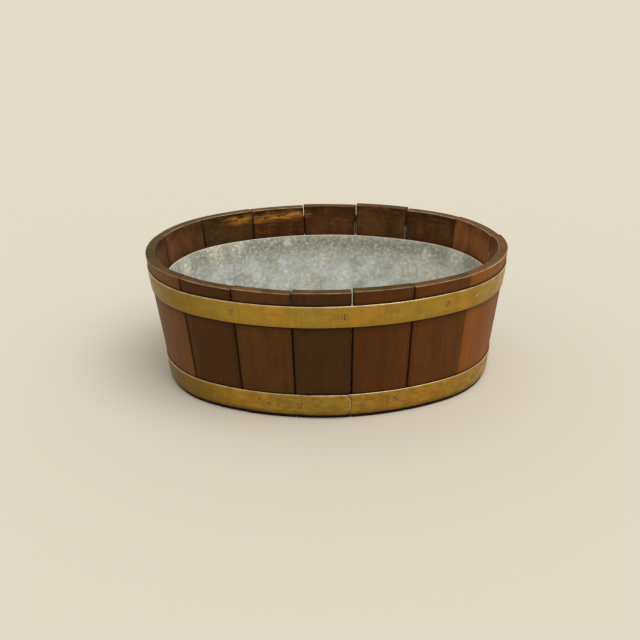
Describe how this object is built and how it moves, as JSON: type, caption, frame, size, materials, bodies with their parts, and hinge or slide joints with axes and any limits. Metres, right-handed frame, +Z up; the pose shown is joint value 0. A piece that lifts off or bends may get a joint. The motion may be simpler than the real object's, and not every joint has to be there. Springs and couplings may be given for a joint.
{
  "type": "wooden planter",
  "caption": "Oval coopered wooden planter: outward-leaning staves held by lapped brass straps, round a loose galvanised liner that lifts out.",
  "frame": {"origin": "on the ground, under the middle of the tub", "axes": "+X along the tub's length, +Y to its back, +Z up out of its mouth"},
  "size_m": [0.6097, 0.4555, 0.2275],
  "materials": {
    "front_staves": "oiled mahogany, darkened by weather",
    "right_end_staves": "oiled mahogany, orange brown",
    "back_staves": "oiled mahogany, darkened by weather",
    "left_end_staves": "oiled mahogany, reddish",
    "base_boards": "unfinished sawn board",
    "straps": "rolled brass bar, dulled by tarnish",
    "screws": "turned brass, worn",
    "liner": "galvanised sheet with a water line and lime bloom"
  },
  "bodies": {
    "tub": {"front_stave_1": "front_staves", "front_stave_2": "front_staves", "front_stave_3": "front_staves", "front_stave_4": "front_staves", "front_stave_5": "front_staves", "right_end_stave_1": "right_end_staves", "right_end_stave_2": "right_end_staves", "right_end_stave_3": "right_end_staves", "back_stave_1": "back_staves", "back_stave_2": "back_staves", "back_stave_3": "back_staves", "back_stave_4": "back_staves", "back_stave_5": "back_staves", "left_end_stave_1": "left_end_staves", "left_end_stave_2": "left_end_staves", "left_end_stave_3": "left_end_staves", "base_board_1": "base_boards", "base_board_2": "base_boards", "base_board_3": "base_boards", "base_board_4": "base_boards", "upper_strap": "straps", "lower_strap": "straps", "upper_strap_screws": "screws", "lower_strap_screws": "screws", "lap_nails": "screws"},
    "liner": {"liner_front_wall": "liner", "liner_back_wall": "liner", "liner_floor": "liner"}
  },
  "joints": [
    {"name": "liner_lift", "type": "slide", "parent": "tub", "child": "liner", "axis": [0, 0, 1], "range_m": [0, 0.25]}
  ]
}
